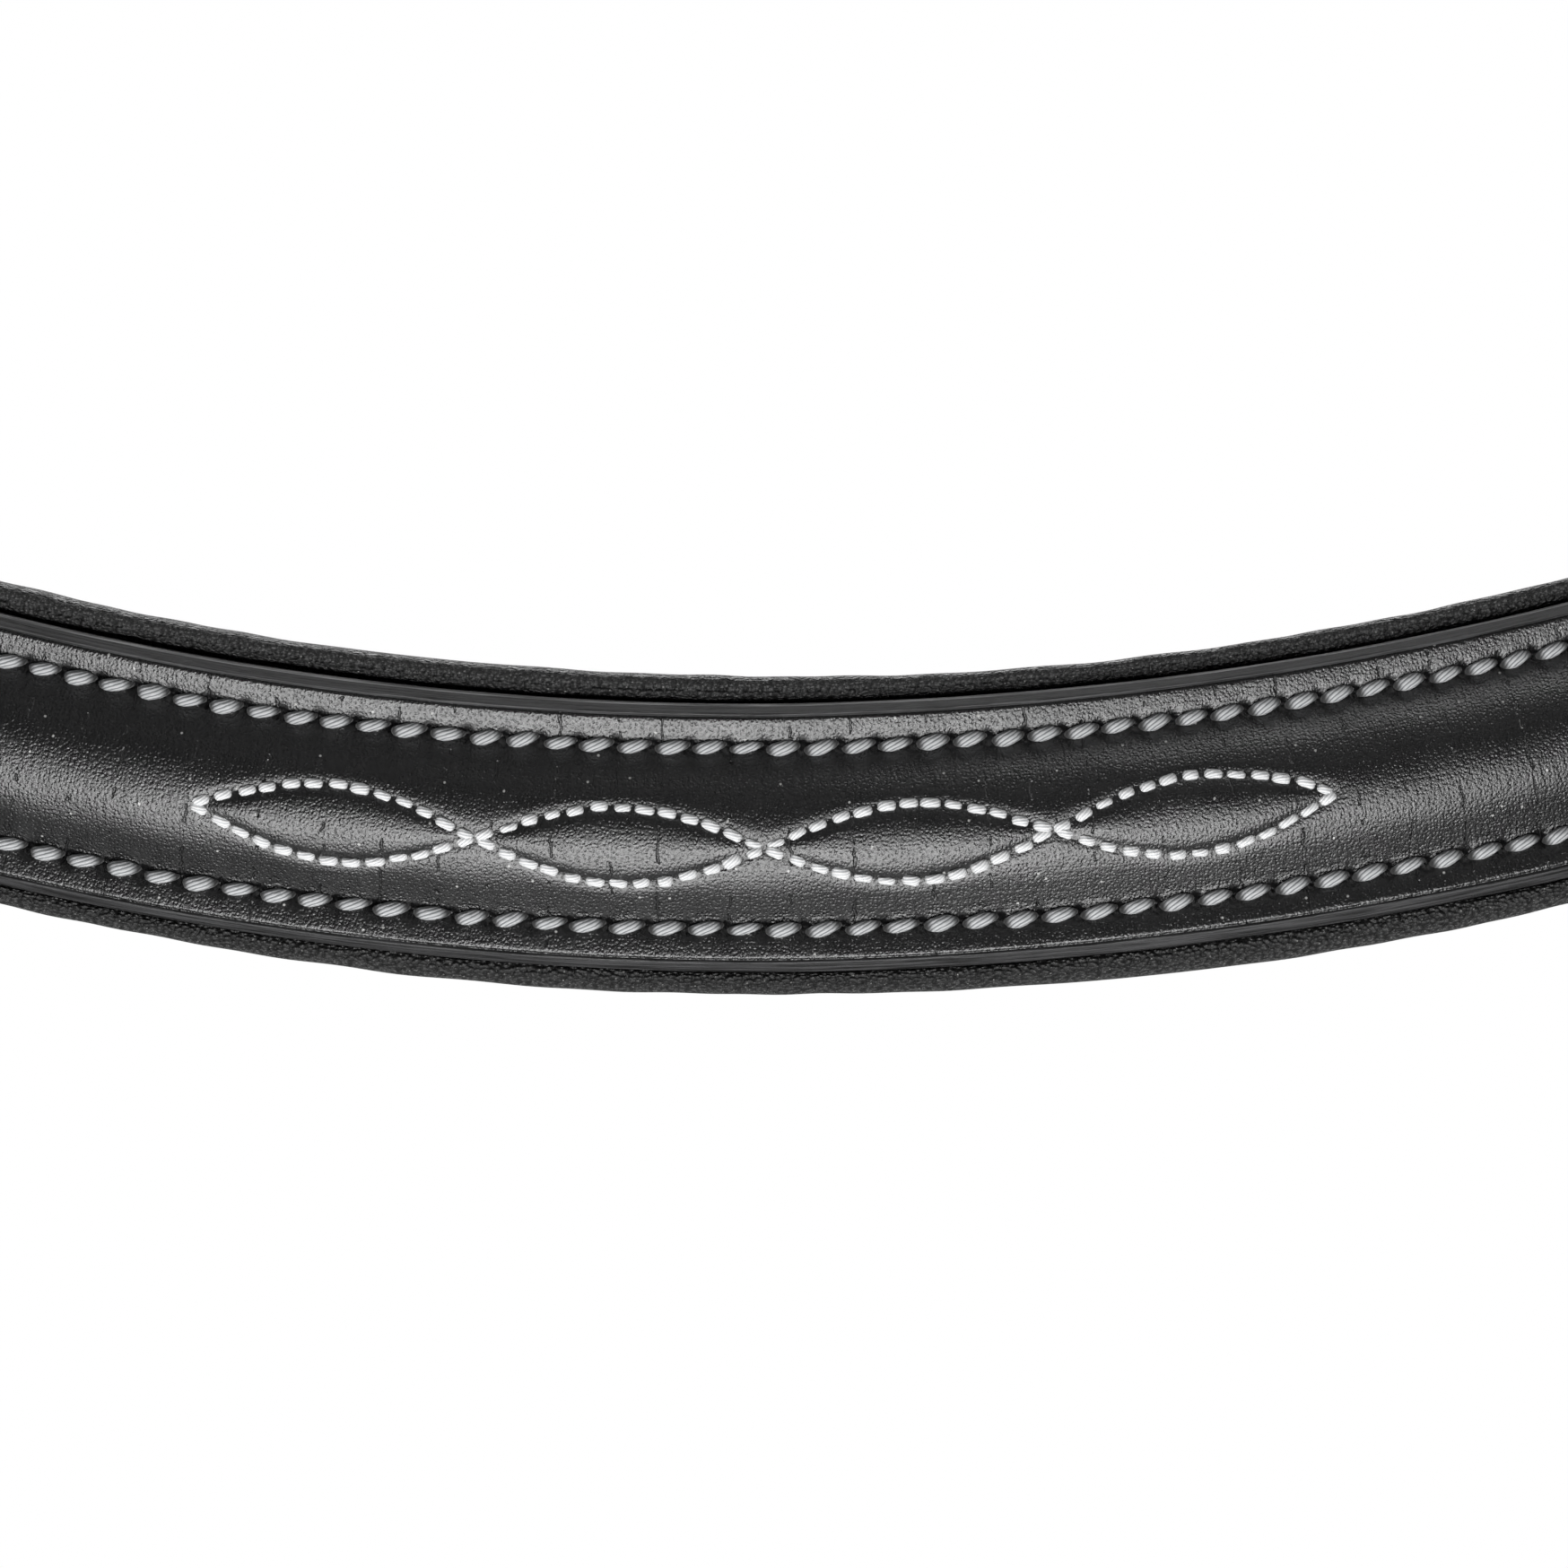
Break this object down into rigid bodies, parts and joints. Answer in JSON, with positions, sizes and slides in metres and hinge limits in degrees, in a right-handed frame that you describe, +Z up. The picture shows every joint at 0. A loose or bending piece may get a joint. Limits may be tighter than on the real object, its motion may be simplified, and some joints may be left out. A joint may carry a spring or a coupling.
{
  "type": "snaffle bridle headstall",
  "caption": "Snaffle bridle headstall: padded poll, raised and fancy-stitched padded browband and noseband, throatlash, sliphead and buckled cheekpieces.",
  "frame": {"origin": "middle of the underside of the poll pad, where the bridle rests on the poll", "axes": "+Z up; the front of the head and the browband face -Y; +X is the horse's left, the near side"},
  "size_m": [0.215, 0.2296, 0.4708],
  "materials": {
    "bridle_leather": "smooth, satin, waxed",
    "lining_leather": "soft, fine grain, matt",
    "felt": "pressed felt cord",
    "foam": "soft sheet foam",
    "waxed_thread": "twisted, waxed, slight sheen",
    "stainless_steel": "polished stainless"
  },
  "bodies": {
    "headstall": {"crown_strap": "bridle_leather", "crown_pad": "lining_leather", "browband_facing": "bridle_leather", "browband_base": "bridle_leather", "browband_lining": "lining_leather", "browband_padding": "foam", "browband_core": "felt", "browband_fancy_thread": "waxed_thread", "browband_lower_edge_thread": "waxed_thread", "browband_upper_edge_thread": "waxed_thread", "cheekpiece_near": "bridle_leather", "cheek_buckle_near_frame": "stainless_steel", "cheek_fixed_keeper_near": "bridle_leather", "cheek_stud_near": "stainless_steel", "bit_loop_upper_keeper_near": "bridle_leather", "bit_loop_lower_keeper_near": "bridle_leather", "cheekpiece_off": "bridle_leather", "cheek_buckle_off_frame": "stainless_steel", "cheek_fixed_keeper_off": "bridle_leather", "cheek_stud_off": "stainless_steel", "bit_loop_upper_keeper_off": "bridle_leather", "bit_loop_lower_keeper_off": "bridle_leather", "sliphead_buckle_frame": "stainless_steel", "sliphead_fixed_keeper": "bridle_leather", "sliphead_long": "bridle_leather", "sliphead_short": "bridle_leather"},
    "throatlash": {"throat_billet_near": "bridle_leather", "throatlash_buckle_near_frame": "stainless_steel", "throatlash_fixed_keeper_near": "bridle_leather", "throat_billet_off": "bridle_leather", "throatlash_buckle_off_frame": "stainless_steel", "throatlash_fixed_keeper_off": "bridle_leather", "throatlash_strap": "bridle_leather"},
    "noseband": {"noseband_facing": "bridle_leather", "noseband_base": "bridle_leather", "noseband_lining": "lining_leather", "noseband_padding": "foam", "noseband_core": "felt", "noseband_fancy_thread": "waxed_thread", "noseband_lower_edge_thread": "waxed_thread", "noseband_upper_edge_thread": "waxed_thread", "noseband_buckle_frame": "stainless_steel", "noseband_fixed_keeper": "bridle_leather"},
    "cheek_buckle_near_tongue": {"cheek_buckle_near_tongue": "stainless_steel"},
    "cheek_runner_near": {"cheek_runner_near": "bridle_leather"},
    "throatlash_buckle_near_tongue": {"throatlash_buckle_near_tongue": "stainless_steel"},
    "throatlash_runner_near": {"throatlash_runner_near": "bridle_leather"},
    "cheek_buckle_off_tongue": {"cheek_buckle_off_tongue": "stainless_steel"},
    "cheek_runner_off": {"cheek_runner_off": "bridle_leather"},
    "throatlash_buckle_off_tongue": {"throatlash_buckle_off_tongue": "stainless_steel"},
    "throatlash_runner_off": {"throatlash_runner_off": "bridle_leather"},
    "sliphead_buckle_tongue": {"sliphead_buckle_tongue": "stainless_steel"},
    "sliphead_runner": {"sliphead_runner": "bridle_leather"},
    "noseband_buckle_tongue": {"noseband_buckle_tongue": "stainless_steel"},
    "noseband_runner": {"noseband_runner": "bridle_leather"}
  },
  "joints": [
    {"name": "noseband_swing", "type": "hinge", "parent": "headstall", "child": "noseband", "pos_m": [0, -0.03, -0.352], "axis": [1, 0, 0], "range_deg": [-10, 10], "stiffness_Nm_per_rad": 0.6},
    {"name": "throatlash_swing", "type": "hinge", "parent": "headstall", "child": "throatlash", "pos_m": [0, 0.012, -0.085], "axis": [1, 0, 0], "range_deg": [0, 28]},
    {"name": "cheek_near_tongue_lift", "type": "hinge", "parent": "headstall", "child": "cheek_buckle_near_tongue", "pos_m": [0.09007, -0.01, -0.19369], "axis": [0, 1, 0], "range_deg": [0, 12]},
    {"name": "cheek_off_tongue_lift", "type": "hinge", "parent": "headstall", "child": "cheek_buckle_off_tongue", "pos_m": [-0.09007, -0.01, -0.19369], "axis": [0, -1, 0], "range_deg": [0, 12]},
    {"name": "sliphead_tongue_lift", "type": "hinge", "parent": "headstall", "child": "sliphead_buckle_tongue", "pos_m": [0.08001, -0.03, -0.22499], "axis": [0, 1, 0], "range_deg": [0, 12]},
    {"name": "throatlash_near_tongue_lift", "type": "hinge", "parent": "throatlash", "child": "throatlash_buckle_near_tongue", "pos_m": [0.09393, 0.012, -0.135], "axis": [0, 1, 0], "range_deg": [0, 12]},
    {"name": "throatlash_off_tongue_lift", "type": "hinge", "parent": "throatlash", "child": "throatlash_buckle_off_tongue", "pos_m": [-0.09387, 0.012, -0.135], "axis": [0, -1, 0], "range_deg": [0, 12]},
    {"name": "noseband_tongue_lift", "type": "hinge", "parent": "noseband", "child": "noseband_buckle_tongue", "pos_m": [0.05721, 0.06292, -0.352], "axis": [0, 0, -1], "range_deg": [0, 12]},
    {"name": "cheek_runner_near_slide", "type": "slide", "parent": "headstall", "child": "cheek_runner_near", "axis": [-0.0797, 0, -0.9968], "range_m": [-0.008, 0.01]},
    {"name": "cheek_runner_off_slide", "type": "slide", "parent": "headstall", "child": "cheek_runner_off", "axis": [0.0797, 0, -0.9968], "range_m": [-0.008, 0.01]},
    {"name": "sliphead_runner_slide", "type": "slide", "parent": "headstall", "child": "sliphead_runner", "axis": [-0.0935, 0, -0.9956], "range_m": [-0.008, 0.01]},
    {"name": "throatlash_runner_near_slide", "type": "slide", "parent": "throatlash", "child": "throatlash_runner_near", "axis": [0, 0, -1], "range_m": [-0.003, 0.008]},
    {"name": "throatlash_runner_off_slide", "type": "slide", "parent": "throatlash", "child": "throatlash_runner_off", "axis": [0, 0, -1], "range_m": [-0.003, 0.008]},
    {"name": "noseband_runner_slide", "type": "slide", "parent": "noseband", "child": "noseband_runner", "axis": [0.1048, -0.9945, 0], "range_m": [-0.005, 0.006]}
  ]
}
